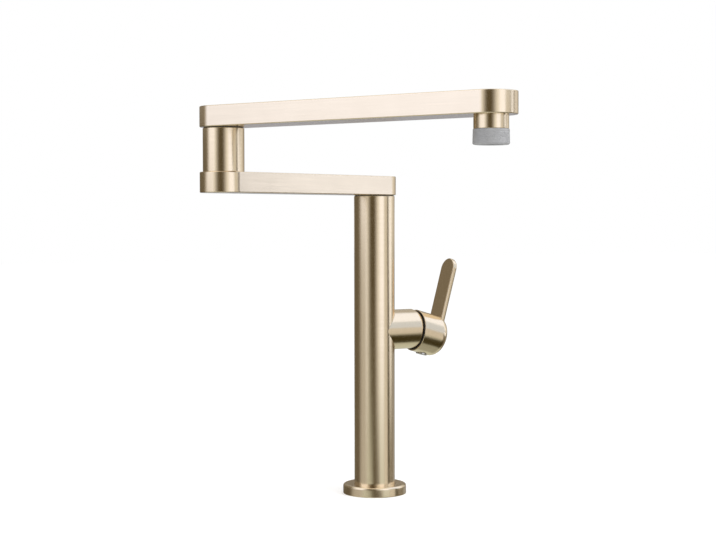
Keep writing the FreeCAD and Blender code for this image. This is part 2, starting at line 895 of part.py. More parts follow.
def upper_arm_clip():
    return on_upper_arm(swivel_clip())


def upper_arm_tube():
    start = spigot_head_radius - arm_tube_entry
    return on_upper_arm(arm_tube(start, upper_arm_reach - outlet_block_radius + arm_tube_entry))


# Spout


def at_spout(shape):
    """Place a piece drawn round the Z axis, from the upper arm's underside down."""
    shape.translate(Vector(upper_arm_reach, 0, 0))
    return on_upper_arm(shape)


def spout_outlet():
    head_top = arm_height - arm_wall - spigot_head_gap
    body = rod(outlet_block_radius, arm_wall, head_top)
    body = body.fuse(rod(outlet_stem_radius, -outlet_stem_drop, arm_wall))
    body = body.cut(rod(outlet_stem_bore_radius, -outlet_stem_drop - reach_past, head_top - spigot_roof))
    body = body.cut(tube_blank(arm_tube_radius + push_fit, -outlet_block_radius - reach_past,
                               arm_tube_entry - outlet_block_radius))
    bore_radius = arm_tube_radius - pipe_wall
    return at_spout(body.cut(tube_blank(bore_radius, -outlet_block_radius, 0)).removeSplitter())


def spout_nozzle():
    body = rod(nozzle_radius, -nozzle_height, 0)
    body = body.makeFillet(nozzle_edge_round, edges_at_height(body, -nozzle_height))
    body = body.cut(rod(outlet_stem_radius + push_fit, -nozzle_height, reach_past))
    washer_top = -outlet_stem_drop
    return at_spout(body.cut(rod(aerator_thread_radius, -nozzle_height - reach_past, washer_top)))


def aerator_washer():
    top = -outlet_stem_drop
    outer = aerator_thread_radius - push_fit
    return at_spout(ring(outer, aerator_washer_inner_radius, top - aerator_washer_thickness, top))


def aerator_neck_top():
    return -outlet_stem_drop - aerator_washer_thickness


def aerator_foot():
    return -nozzle_height - aerator_height


def aerator_housing():
    """Slightly flared outlet with a rounded foot and a lip that holds the core."""
    skirt = Part.makeCone(aerator_foot_radius, aerator_top_radius, aerator_height)
    skirt = skirt.makeFillet(aerator_foot_round, edges_at_height(skirt, 0))
    skirt.translate(Vector(0, 0, aerator_foot()))
    body = skirt.fuse(rod(aerator_thread_radius - push_fit, -nozzle_height, aerator_neck_top()))
    lip_top = aerator_foot() + aerator_lip_height
    body = body.cut(rod(aerator_core_radius + push_fit, lip_top, reach_past))
    lip_radius = aerator_core_radius - aerator_lip_width
    return at_spout(body.cut(rod(lip_radius, aerator_foot() - reach_past, lip_top + reach_past)))


def hexagon_places(pitch, reach):
    """Centres of a honeycomb pattern that fit within a radius."""
    row_rise = pitch * math.cos(hexagon_half_angle)
    rows = math.ceil(reach / row_rise)
    places = []
    for row in range(-rows, rows + 1):
        for column in range(-rows, rows + 1):
            x = pitch * (column + row / 2)
            y = row_rise * row
            if math.hypot(x, y) <= reach:
                places.append((x, y))
    return places


def honeycomb(radius, bottom, top, hole_radius):
    """Disc with a honeycomb of holes."""
    body = rod(radius, bottom, top)
    holes = []
    for x, y in hexagon_places(aerator_hole_pitch, radius - aerator_lip_width - 2 * hole_radius):
        holes.append(rod(hole_radius, bottom - reach_past, top + reach_past, x, y))
    return body.cut(Part.makeCompound(holes))


def aerator_core():
    bottom = aerator_foot() + aerator_lip_height
    top = bottom + aerator_core_height
    return at_spout(honeycomb(aerator_core_radius, bottom, top, aerator_hole_radius))


def aerator_screen():
    bottom = aerator_foot() + aerator_lip_height + aerator_core_height
    top = bottom + screen_thickness
    return at_spout(honeycomb(aerator_core_radius, bottom, top, screen_hole_radius))


NODES = (
    base_flange, base_gasket, base_insert, column_tube, hot_inlet_pipe, cold_inlet_pipe, outlet_pipe,
    valve_manifold, valve_barrel, cartridge_base, cartridge_seals, fixed_disc, moving_disc, disc_carrier,
    cartridge_rotor, stem_pin, cartridge_shell, cartridge_nut, lever_stem, lever_cap, lever_blade,
    cap_glide_ring, cap_grub_screw, index_plug, column_head, head_adapter, column_thrust_washer,
    lower_arm_shell, lower_arm_base_plate, elbow_clamp_screw, lower_arm_spigot, lower_arm_o_rings,
    lower_arm_clip, lower_arm_tube, elbow_base, elbow_socket, elbow_sleeve, elbow_thrust_washer,
    upper_arm_shell, upper_arm_base_plate, upper_arm_spigot, upper_arm_o_rings, upper_arm_clip,
    upper_arm_tube, spout_outlet, spout_nozzle, aerator_washer, aerator_housing, aerator_core,
    aerator_screen,
)


os.makedirs("parts", exist_ok=True)
for make_node in NODES:
    make_node().exportStep("parts/" + make_node.__name__ + ".step")
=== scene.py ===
"""Looks of a folding pot filler faucet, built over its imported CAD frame.

Everything is in metres and in the CAD frame: +Z is up, the origin is the centre of the flange's
underside, +X runs along the valve barrel towards the lever, and -Y faces the cook.
"""

import json
import logging
import math
from dataclasses import dataclass
from enum import Enum
from typing import Iterable, Optional

import bmesh
import bpy
from mathutils import Euler, Matrix, Vector


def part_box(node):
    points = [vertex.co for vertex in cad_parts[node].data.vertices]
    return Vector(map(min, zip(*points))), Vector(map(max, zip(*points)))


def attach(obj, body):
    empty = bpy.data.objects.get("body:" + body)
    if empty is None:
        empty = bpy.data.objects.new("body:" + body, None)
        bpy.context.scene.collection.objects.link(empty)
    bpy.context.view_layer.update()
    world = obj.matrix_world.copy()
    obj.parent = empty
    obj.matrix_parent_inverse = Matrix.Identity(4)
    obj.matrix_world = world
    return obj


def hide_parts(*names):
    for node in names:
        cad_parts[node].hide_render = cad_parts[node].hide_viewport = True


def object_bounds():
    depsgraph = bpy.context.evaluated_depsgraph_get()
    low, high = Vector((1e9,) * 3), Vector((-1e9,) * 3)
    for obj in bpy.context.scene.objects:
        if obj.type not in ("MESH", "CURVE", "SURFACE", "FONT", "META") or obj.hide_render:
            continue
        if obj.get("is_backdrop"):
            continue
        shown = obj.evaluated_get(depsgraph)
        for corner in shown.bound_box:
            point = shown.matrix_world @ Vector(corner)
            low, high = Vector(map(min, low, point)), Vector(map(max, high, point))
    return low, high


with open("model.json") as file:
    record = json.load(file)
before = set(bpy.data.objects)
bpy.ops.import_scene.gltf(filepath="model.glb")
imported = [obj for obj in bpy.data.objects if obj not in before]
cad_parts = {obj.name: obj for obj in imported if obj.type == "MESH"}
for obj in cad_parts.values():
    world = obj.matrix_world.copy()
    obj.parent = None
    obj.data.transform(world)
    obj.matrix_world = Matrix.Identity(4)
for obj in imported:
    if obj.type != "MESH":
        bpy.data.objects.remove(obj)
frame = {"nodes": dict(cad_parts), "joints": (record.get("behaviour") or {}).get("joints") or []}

MM = 0.001
ORIGIN = (0.0, 0.0, 0.0)
UP = (0.0, 0.0, 1.0)
FULL_TURN = 360.0
TURN_STEPS = 144
ARC_STEPS = 6
END_STEPS = 64
MERGE_DISTANCE = 1e-7
SHARP_ANGLE = math.radians(32.0)
RISING = (0.0, 1.0)
FALLING = (1.0, 0.0)
NOISE_SPAN = (0.3, 0.7)
LINE_SPAN = (0.35, 0.7)
MOTTLING_SPAN = (0.4, 0.75)
PALE_SPAN = (0.0, 0.7)
EDGE_SPAN = (0.90, 0.995)
FLAT_SPAN = (0.98, 0.999)

log = logging.getLogger("pot_filler")

Colour = tuple[float, float, float]
Span = tuple[float, float]
Shape = bmesh.types.BMesh
Vert = bmesh.types.BMVert
Socket = bpy.types.NodeSocket


class Slot(Enum):
    """Material slots of the part's record."""

    GOLD = "brushed_gold"
    BRASS = "plain_brass"
    COPPER = "copper_pipe"
    STEEL = "steel"
    RUBBER = "black_rubber"
    BLACK_PLASTIC = "black_plastic"
    GREY_PLASTIC = "grey_plastic"
    WHITE_PLASTIC = "white_plastic"
    SILICONE = "grey_silicone"
    CERAMIC = "ceramic"


class Lay(Enum):
    """Ways that the lines of a brushed finish run on a piece, in the piece's own axes."""

    TURNED = "round the Z axis"
    LENGTHWISE = "along X"
    BLADE = "along X, across a plate that faces Z"


# Places


@dataclass(frozen=True)
class Extent:
    """Lowest and highest corner of a CAD node, in the axes of a place."""

    low: Vector
    high: Vector


@dataclass(frozen=True)
class Place:
    """Local axes of a piece: where they stand in the CAD frame and how they are turned."""

    spot: Vector
    turn: Euler

    @property
    def matrix(self) -> Matrix:
        """Matrix from the piece's own axes to the CAD frame."""
        return Matrix.Translation(self.spot) @ self.turn.to_matrix().to_4x4()

    def extent(self, node: str) -> Extent:
        """Measure a CAD node in these axes.

        Args:
            node: Name of the CAD node.

        Returns:
            The node's lowest and highest corner, in the axes of this place.
        """
        into = self.matrix.inverted()
        points = [into @ vert.co for vert in frame["nodes"][node].data.vertices]
        low = Vector(min(point[axis] for point in points) for axis in range(3))
        high = Vector(max(point[axis] for point in points) for axis in range(3))
        return Extent(low, high)


def joint_spot(name: str) -> Vector:
    """Place of a joint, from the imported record."""
    return next(Vector(joint["pos_m"]) for joint in frame["joints"] if joint["name"] == name)


def closed_tilt() -> float:
    """Angle from the closed lever to the photographed one, in radians, from the joint's range."""
    tilt = next(joint for joint in frame["joints"] if joint["name"] == "lever_tilt")
    return math.radians(-tilt["range_deg"][0])


def upright(spot: Iterable[float] = ORIGIN, turn: float = 0.0) -> Place:
    """Axes that stand upright at a spot, with X turned round Z by an angle in radians."""
    return Place(Vector(spot), Euler((0.0, 0.0, turn)))


def out_of_barrel(tilt: float = 0.0) -> Place:
    """Axes at the lever's pivot, with Z out along the barrel and tipped down by an angle in radians."""
    return Place(joint_spot("lever_tilt"), Euler((0.0, math.pi / 2 + tilt, 0.0)))


def heading(start: Vector, end: Vector) -> float:
    """Angle round Z of the way from one point to another, in radians."""
    return math.atan2(end.y - start.y, end.x - start.x)


# Finishes


class Tree:
    """Node tree of a material or a world, with short ways to add its nodes."""

    def __init__(self, owner: bpy.types.ID, output: str = "OutputMaterial") -> None:
        """Empty the tree and give it an output.

        Args:
            owner: Material or world that has the tree.
            output: Type of the output node, without its ShaderNode prefix.
        """
        owner.use_nodes = True
        self.owner = owner
        self.nodes = owner.node_tree.nodes
        self.nodes.clear()
        self.output = self.add(output)

    def feed(self, target: Socket, value: object) -> None:
        """Link an input to the socket that feeds it, or set its value.

        Args:
            target: The input.
            value: A socket or a plain value.
        """
        if isinstance(value, Socket):
            self.owner.node_tree.links.new(value, target)
        else:
            target.default_value = value

    def add(self, kind: str, inputs: Optional[dict] = None, **settings: object) -> bpy.types.Node:
        """Add a node.

        Args:
            kind: Type of the node, without its ShaderNode prefix.
            inputs: Socket or value for each of its inputs, by name or number.
            **settings: Properties of the node and their values.

        Returns:
            The new node.
        """
        node = self.nodes.new("ShaderNode" + kind)
        for name, value in settings.items():
            setattr(node, name, value)
        for name, value in (inputs or {}).items():
            self.feed(node.inputs[name], value)
        return node

    def sums(self, operation: str, first: Socket, second: object = 0.0) -> Socket:
        """Work on a value, and on a second one or a number, with a Math node."""
        return self.add("Math", {0: first, 1: second}, operation=operation).outputs[0]

    def facing(self, first: Socket, second: object) -> Socket:
        """Share of one direction that lies along another."""
        return self.add("VectorMath", {0: first, 1: second}, operation="DOT_PRODUCT").outputs["Value"]

    def spread(self, value: Socket, source: Span, target: Span, ease: str = "LINEAR") -> Socket:
        """Map a value from one range to another."""
        ends = dict(zip(("From Min", "From Max", "To Min", "To Max"), (*source, *target)))
        return self.add("MapRange", {"Value": value, **ends}, interpolation_type=ease).outputs["Result"]

    def blend(self, factor: Socket, first: object, second: Colour) -> Socket:
        """Mix a share of a second colour into a first one, which may be a socket."""
        start = first if isinstance(first, Socket) else (*first, 1.0)
        return self.add("Mix", {"Factor": factor, "A": start, "B": (*second, 1.0)},
                        data_type="RGBA").outputs["Result"]

    def local(self, inputs: dict) -> Socket:
        """Point on the object, in axes that are placed, turned and scaled by the inputs."""
        point = self.add("TexCoord").outputs["Object"]
        return self.add("Mapping", {"Vector": point, **inputs}, vector_type="TEXTURE").outputs["Vector"]

    def noise(self, place: Place, cell: tuple[float, float, float], detail: float = 2.0) -> Socket:
        """Noise on the piece's own axes, with the size of one blot along each axis in metres."""
        point = self.local({"Location": place.spot, "Rotation": place.turn, "Scale": cell})
        return self.add("TexNoise", {"Vector": point, "Scale": 1.0, "Detail": detail}).outputs["Fac"]

    def edges(self, radius: float) -> Socket:
        """Mask that is 1 on edges, as far as a radius in metres, and 0 on open surfaces."""
        normals = (self.add("Bevel", {"Radius": radius}, samples=4), self.add("NewGeometry"))
        return self.spread(self.facing(*(node.outputs["Normal"] for node in normals)), EDGE_SPAN, FALLING)

    def flats(self, place: Place) -> Socket:
        """Mask that is 1 where a surface faces along the piece's own Y axis, either way.

        Args:
            place: Axes of the piece.

        Returns:
            The mask's socket.
        """
        normal = self.add("NewGeometry").outputs["Normal"]
        turned = self.add("VectorTransform", {"Vector": normal}, vector_type="NORMAL",
                          convert_from="WORLD", convert_to="OBJECT").outputs["Vector"]
        along = self.facing(turned, place.turn.to_matrix() @ Vector((0.0, 1.0, 0.0)))
        return self.spread(self.sums("ABSOLUTE", along), FLAT_SPAN, RISING)

    def bump(self, height: Socket, depth: float, strength: float) -> Socket:
        """Normal bumped by a height from 0 to 1, where 1 is a depth in metres of which a share shows."""
        inputs = {"Distance": depth, "Strength": strength, "Height": height}
        return self.add("Bump", inputs).outputs["Normal"]

    def surface(self, kind: str, inputs: dict) -> bpy.types.ID:
        """Add the last shader, send it to the output, and give the finished material or world."""
        self.feed(self.output.inputs["Surface"], self.add(kind, inputs).outputs[0])
        return self.owner


@dataclass(frozen=True)
class BrushedMetal:
    """Metal with fine brush lines, faint clouding and slightly polished edges, whose paler colour is a
    painted highlight.

    Attributes:
        line_strength: Share of the depth of the lines that shows.
        edge: Reach of the polished edge, whose paler colour is a painted highlight.
        edge_polish: Roughness of that edge, as a share of the open surface's.
        flat_painted_sheen: Paler colour painted on the flat sides of a piece that is brushed lengthwise, if
            any: a painted sheen for the bright light that those sides reflect.
    """

    tint: Colour
    line_tint: Colour
    edge_polish_and_highlight_tint: Colour
    roughness: Span
    line_width: float = 0.35 * MM
    line_length: float = 40 * MM
    line_depth: float = 0.0015 * MM
    line_strength: float = 0.3
    cloud: float = 22 * MM
    edge: float = 0.5 * MM
    edge_polish: float = 0.8
    flat_painted_sheen: Optional[Colour] = None

    def cell(self, lay: Lay) -> tuple[float, float, float]:
        """Size of a brush line along each axis of the piece, for a lay."""
        across = self.line_length if lay is Lay.TURNED else self.line_width
        return (self.line_length, across, self.line_width)

    def material(self, name: str, place: Place, lay: Lay) -> bpy.types.Material:
        """Build the finish for one piece.

        Args:
            name: Name of the material.
            place: Axes that the brush lines follow.
            lay: Way that the brush lines run in those axes.

        Returns:
            The material.
        """
        tree = Tree(bpy.data.materials.new(name))
        lines = tree.noise(place, self.cell(lay), detail=3.0)
        clouds = tree.noise(place, (self.cloud,) * 3)
        edges = tree.edges(self.edge)
        low, high = self.roughness
        brushed = tree.blend(tree.spread(lines, LINE_SPAN, RISING), self.tint, self.line_tint)
        # Painted sheen: sides that face along the piece's Y axis are made paler, standing in for the bright
        # light that they reflect.
        if self.flat_painted_sheen and lay is Lay.LENGTHWISE:
            brushed = tree.blend(tree.flats(place), brushed, self.flat_painted_sheen)
        clouded = tree.sums("ADD", tree.spread(lines, NOISE_SPAN, (low, high)),
                            tree.spread(clouds, NOISE_SPAN, (0.0, (high - low) / 2)))
        polish = tree.spread(edges, RISING, (1.0, self.edge_polish))
        return tree.surface("BsdfPrincipled", {
            "Metallic": 1.0,
            # Painted highlight: edges get a paler colour; the lower roughness there is the real polish.
            "Base Color": tree.blend(edges, brushed, self.edge_polish_and_highlight_tint),
            "Roughness": tree.sums("MULTIPLY", clouded, polish),
            "Normal": tree.bump(lines, self.line_depth, self.line_strength),
        })


@dataclass(frozen=True)
class Moulded:
    """Plastic, rubber, silicone or ceramic, with faint mottling and a fine skin.

    Attributes:
        pale_tint: Colour of the palest mottling.
        grain_strength: Share of the depth of the grain that shows.
        edge: Reach of the worn edge.
    """

    tint: Colour
    pale_tint: Colour
    roughness: Span
    grain: float = 0.25 * MM
    grain_depth: float = 0.01 * MM
    grain_strength: float = 0.5
    mottling: float = 6 * MM
    edge: float = 0.4 * MM

    def material(self, name: str, place: Place, lay: Lay) -> bpy.types.Material:
        """Build the finish for one piece.

        Args:
            name: Name of the material.
            place: Axes that the grain follows.
            lay: Not used, because this finish has no lines.

        Returns:
            The material.
        """
        tree = Tree(bpy.data.materials.new(name))
        grain = tree.noise(place, (self.grain,) * 3)
        mottling = tree.noise(place, (self.mottling,) * 3, detail=3.0)
        worn = tree.sums("MAXIMUM", tree.spread(mottling, MOTTLING_SPAN, PALE_SPAN), tree.edges(self.edge))
        return tree.surface("BsdfPrincipled", {
            "Base Color": tree.blend(worn, self.tint, self.pale_tint),
            "Roughness": tree.spread(mottling, NOISE_SPAN, self.roughness),
            "Normal": tree.bump(grain, self.grain_depth, self.grain_strength),
        })


# Each metal's third colour is its edge colour: the edges are really polished, and this paler colour on them
# is a painted highlight.
FINISHES = {
    # The gold's last colour is a painted sheen on the flat sides of lengthwise-brushed pieces, for the bright
    # light that they reflect.
    Slot.GOLD: BrushedMetal((0.87, 0.73, 0.53), (0.85, 0.705, 0.505), (0.91, 0.79, 0.60), (0.16, 0.21),
                            flat_painted_sheen=(0.86, 0.745, 0.59)),
    Slot.BRASS: BrushedMetal((0.80, 0.62, 0.30), (0.72, 0.54, 0.25), (0.86, 0.70, 0.40), (0.24, 0.34)),
    Slot.COPPER: BrushedMetal((0.80, 0.46, 0.32), (0.70, 0.38, 0.25), (0.86, 0.55, 0.42), (0.22, 0.34)),
    Slot.STEEL: BrushedMetal((0.62, 0.61, 0.59), (0.54, 0.53, 0.52), (0.72, 0.71, 0.70), (0.24, 0.34)),
    Slot.RUBBER: Moulded((0.018, 0.018, 0.019), (0.035, 0.034, 0.033), (0.55, 0.72)),
    Slot.BLACK_PLASTIC: Moulded((0.016, 0.014, 0.012), (0.034, 0.031, 0.028), (0.38, 0.5)),
    Slot.GREY_PLASTIC: Moulded((0.11, 0.095, 0.075), (0.16, 0.14, 0.115), (0.4, 0.55)),
    Slot.WHITE_PLASTIC: Moulded((0.72, 0.72, 0.69), (0.82, 0.82, 0.80), (0.35, 0.5)),
    Slot.SILICONE: Moulded((0.33, 0.33, 0.335), (0.405, 0.405, 0.41), (0.42, 0.58), grain_depth=0.02 * MM),
    Slot.CERAMIC: Moulded((0.78, 0.77, 0.73), (0.86, 0.85, 0.82), (0.12, 0.2), grain_depth=0.002 * MM),
}


# Shapes


def verts_in(parts: Iterable[object]) -> list[Vert]:
    """Vertices among some parts of a mesh."""
    return [part for part in parts if isinstance(part, Vert)]


def swept(mesh: Shape, parts: list, angle: float, steps: int, centre: Iterable[float] = ORIGIN,
          axis: Iterable[float] = UP) -> list[Vert]:
    """Sweep parts of a mesh along an open arc.

    Args:
        mesh: Mesh that holds the parts.
        parts: Vertices and edges to sweep.
        angle: Angle of the arc, in radians.
        steps: Number of edges along the arc.
        centre: Centre of the arc.
        axis: Axis of the arc.

    Returns:
        The vertices at the arc's end.
    """
    arc = bmesh.ops.spin(mesh, geom=parts, cent=centre, axis=axis, angle=angle, steps=steps, use_merge=False,
                         use_duplicate=False)
    return verts_in(arc["geom_last"])


def half_turn(mesh: Shape, start: Vector, centre: Vector) -> tuple[Vert, Vert]:
    """Draw half a circle in the X-Y plane, and give its first and last vertex."""
    first = mesh.verts.new(start)
    return first, swept(mesh, [first], math.pi, END_STEPS, centre)[0]


def softened(mesh: Shape, parts: list, rounding: float, affect: str = "EDGES") -> None:
    """Round edges, or else corners, of a mesh by a radius."""
    bmesh.ops.bevel(mesh, geom=parts, offset=rounding, offset_type="OFFSET", segments=ARC_STEPS, profile=0.5,
                    affect=affect, material=-1)


def level_edges(mesh: Shape, height: float) -> list[bmesh.types.BMEdge]:
    """Edges of a mesh whose two ends are at one height."""
    return [edge for edge in mesh.edges
            if all(abs(vert.co.z - height) < MERGE_DISTANCE for vert in edge.verts)]


class Profile:
    """Outline in the X-Z plane of a piece's own axes, drawn corner by corner and then spun round Z."""

    def __init__(self, radius: float, height: float) -> None:
        """Start the outline.

        Args:
            radius: Distance of the first corner from the Z axis.
            height: Height of the first corner.
        """
        self.mesh = bmesh.new()
        self.first = self.mesh.verts.new((radius, 0.0, height))
        self.last = self.first
        self.rounds: list[tuple[Vert, float]] = []

    def to(self, radius: float, height: float, rounding: float = 0.0) -> "Profile":
        """Draw a straight line to the next corner.

        Args:
            radius: Distance of the corner from the Z axis.
            height: Height of the corner.
            rounding: Radius of the round on that corner.

        Returns:
            This outline.
        """
        corner = self.mesh.verts.new((radius, 0.0, height))
        self.mesh.edges.new((self.last, corner))
        self.last = corner
        if rounding:
            self.rounds.append((corner, rounding))
        return self

    def sweep(self, angle: float) -> "Profile":
        """Draw an arc round the origin by an angle in radians, positive from Z towards X."""
        self.last = swept(self.mesh, [self.last], angle, 2 * ARC_STEPS, axis=(0.0, 1.0, 0.0))[0]
        return self

    def spun(self) -> Shape:
        """Close the outline, round its corners and spin it into a solid.

        Returns:
            The solid's mesh, in the piece's own axes.
        """
        mesh = self.mesh
        mesh.edges.new((self.last, self.first))
        for corner, rounding in self.rounds:
            softened(mesh, [corner], rounding, "VERTICES")
        bmesh.ops.spin(mesh, geom=mesh.verts[:] + mesh.edges[:], cent=ORIGIN, axis=UP, angle=math.tau,
                       steps=TURN_STEPS, use_merge=True, use_duplicate=False)
        bmesh.ops.remove_doubles(mesh, verts=mesh.verts[:], dist=MERGE_DISTANCE)
        bmesh.ops.recalc_face_normals(mesh, faces=mesh.faces[:])
        return mesh


def rod(radius: float, low: float, high: float, rounding: float = 0.0) -> Shape:
    """Solid rod round Z between two heights, with a round on its top edge."""
    return Profile(0.0, low).to(radius, low).to(radius, high, rounding).to(0.0, high).spun()


def flat_ring(size: Extent, wall: float) -> Shape:
    """Flat ring round Z, with an extent and a wall."""
    radius, low, high = size.high.x, size.low.z, size.high.z
    return Profile(radius - wall, low).to(radius, low).to(radius, high).to(radius - wall, high).spun()


def sideways(shape: Shape, along: float) -> Shape:
    """Turn a shape's Z axis to X, and move it along Z.

    Args:
        shape: The shape.
        along: Place along Z that it moves to.

    Returns:
        The same shape.
    """
    turn = Matrix.Translation((0.0, 0.0, along)) @ Matrix.Rotation(math.pi / 2, 4, "Y")
    bmesh.ops.transform(shape, matrix=turn, verts=shape.verts[:])
    return shape


def pulled_plate(plate: Shape, joins: Iterable[tuple[Vert, Vert]], depth: float) -> None:
    """Close an outline into a flat face, and pull it up along Z into a solid.

    Args:
        plate: Mesh that holds the open outline.
        joins: Pairs of vertices that straight edges join.
        depth: Height of the solid.
    """
    for ends in joins:
        plate.edges.new(ends)
    outline = bmesh.ops.contextual_create(plate, geom=plate.edges[:])["faces"][0]
    pulled = bmesh.ops.extrude_face_region(plate, geom=[outline], use_keep_orig=True)
    bmesh.ops.translate(plate, vec=(0.0, 0.0, depth), verts=verts_in(pulled["geom"]))
    bmesh.ops.recalc_face_normals(plate, faces=plate.faces[:])


def linked(name: str, data: bpy.types.ID) -> bpy.types.Object:
    """Make an object of some data, and put it into the scene.

    Args:
        name: Name of the object.
        data: Its mesh, lamp or camera.

    Returns:
        The object.
    """
    made = bpy.data.objects.new(name, data)
    bpy.context.scene.collection.objects.link(made)
    return made


def object_from(name: str, shape: Shape) -> bpy.types.Object:
    """Make an object at the origin from a bmesh, and free the bmesh.

    Args:
        name: Name of the object.
        shape: Its mesh.

    Returns:
        The object.
    """
    mesh = bpy.data.meshes.new(name)
    shape.to_mesh(mesh)
    shape.free()
    return linked(name, mesh)


def carved(shape: Shape, cuts: Iterable[Shape]) -> Shape:
    """Cut solids out of a solid.

    Args:
        shape: The solid.
        cuts: Solids that are cut away, in the same axes.

    Returns:
        What is left.
    """
    made = object_from("carving", shape)
    for cut in cuts:
        cutter = object_from("cutter", cut)
        boolean = made.modifiers.new("cut", "BOOLEAN")
        boolean.operation = "DIFFERENCE"
        boolean.solver = "EXACT"
        boolean.object = cutter
        result = bpy.data.meshes.new_from_object(made.evaluated_get(bpy.context.evaluated_depsgraph_get()))
        made.modifiers.remove(boolean)
        made.data = result
        bpy.data.objects.remove(cutter)
    left = bmesh.new()
    left.from_mesh(made.data)
    bpy.data.objects.remove(made)
    return left


@dataclass
class Piece:
    """One finished piece, in its own axes.

    Attributes:
        body: CAD body that it rides on.
        node: CAD node that it replaces.
    """

    name: str
    place: Place
    body: str
    node: str
    slot: Slot = Slot.GOLD
    lay: Lay = Lay.TURNED

    def build(self, shape: Shape) -> None:
        """Turn a shape in the piece's own axes into the finished piece.

        Args:
            shape: The piece's mesh, in its own axes.
        """
        bmesh.ops.transform(shape, matrix=self.place.matrix, verts=shape.verts[:])
        made = object_from(self.name, shape)
        made.data.shade_smooth()
        made.data.set_sharp_from_angle(angle=SHARP_ANGLE)
        made.modifiers.new("face normals", "WEIGHTED_NORMAL").keep_sharp = True
        made.data.materials.append(FINISHES[self.slot].material(self.name + "_finish", self.place, self.lay))
        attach(made, self.body)
        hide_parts(self.node)
        log.info("%s rides on %s and stands for %s", self.name, self.body, self.node)


# Sub-assemblies


@dataclass
class Base:
    """Trim flange on the deck, in the column's axes."""

    place: Place
    top_round: float = 2.0 * MM
    foot_round: float = 0.6 * MM
    column_gap: float = 0.05 * MM
    seat_gap: float = 0.2 * MM

    def build(self) -> None:
        """Build the flange over the brass foot's shoulder."""
        flange = self.place.extent("base_flange").high
        column = self.place.extent("column_tube")
        gasket = self.place.extent("base_gasket").high
        bore = column.high.y + self.column_gap
        recess = self.place.extent("base_insert").high.y + self.column_gap
        seat = column.low.z + self.seat_gap
        profile = Profile(bore, flange.z).to(flange.x, flange.z, self.top_round)
        profile.to(flange.x, 0.0, self.foot_round).to(gasket.x, 0.0).to(gasket.x, gasket.z)
        profile.to(recess, gasket.z).to(recess, seat).to(bore, seat)
        Piece("trim_flange", self.place, "column", "base_flange").build(profile.spun())


@dataclass
class Column:
    """Tall column, its valve barrel and the washer under the lower arm.

    Attributes:
        barrel_wall: Wall of the barrel at its dome.
        barrel_foot_wall: Wall of the barrel where it meets the column.
        foot_wall_end: Distance from the column's axis at which that wall gets thicker.
        dome_radius: Radius of the dome round the lever's pivot.
        braze_gap: Gap between the barrel and the column.
    """

    place: Place
    barrel_place: Place
    wall: float = 2.2 * MM
    top_round: float = 0.3 * MM
    barrel_wall: float = 4.55 * MM
    barrel_foot_wall: float = 2.8 * MM
    foot_wall_end: float = 18.45 * MM
    dome_radius: float = 18.9 * MM
    braze_gap: float = 0.05 * MM
    washer_wall: float = 8.0 * MM

    def build(self) -> None:
        """Build the column, the barrel and the washer."""
        self.tube()
        self.barrel()
        washer = flat_ring(self.place.extent("column_thrust_washer"), self.washer_wall)
        Piece("column_washer", self.place, "column", "column_thrust_washer", Slot.GREY_PLASTIC).build(washer)

    def tube(self) -> None:
        """Column tube, with the hole for the valve manifold."""
        size = self.place.extent("column_tube")
        radius = size.high.y
        bore = radius - self.wall
        profile = Profile(bore, size.low.z).to(radius, size.low.z)
        profile.to(radius, size.high.z, self.top_round).to(bore, size.high.z)
        manifold = self.place.extent("valve_manifold").high.y + self.braze_gap
        hole = sideways(rod(manifold, 0.0, 2 * radius), self.barrel_place.spot.z)
        Piece("column_body", self.place, "column", "column_tube").build(carved(profile.spun(), [hole]))

    def barrel(self) -> None:
        """Valve barrel, whose foot follows the column and whose end is a dome round the pivot."""
        place = self.barrel_place
        size = place.extent("valve_barrel")
        radius = size.high.y
        column_face = place.extent("column_tube").high.y + self.braze_gap
        dome_start = math.asin(radius / self.dome_radius)
        dome_end = math.acos(size.high.z / self.dome_radius)
        foot = -place.spot.x
        inner_foot = radius - self.barrel_foot_wall
        step = self.foot_wall_end - place.spot.x
        bore = radius - self.barrel_wall
        profile = Profile(inner_foot, foot).to(radius, foot)
        profile.to(radius, self.dome_radius * math.cos(dome_start)).sweep(dome_end - dome_start)
        shape = profile.to(bore, size.high.z).to(bore, step).to(inner_foot, step).spun()
        for vert in shape.verts:
            if vert.co.z < foot + MERGE_DISTANCE:
                vert.co.z = foot + math.sqrt(column_face ** 2 - vert.co.y ** 2)
        Piece("valve_body", place, "column", "valve_barrel").build(shape)


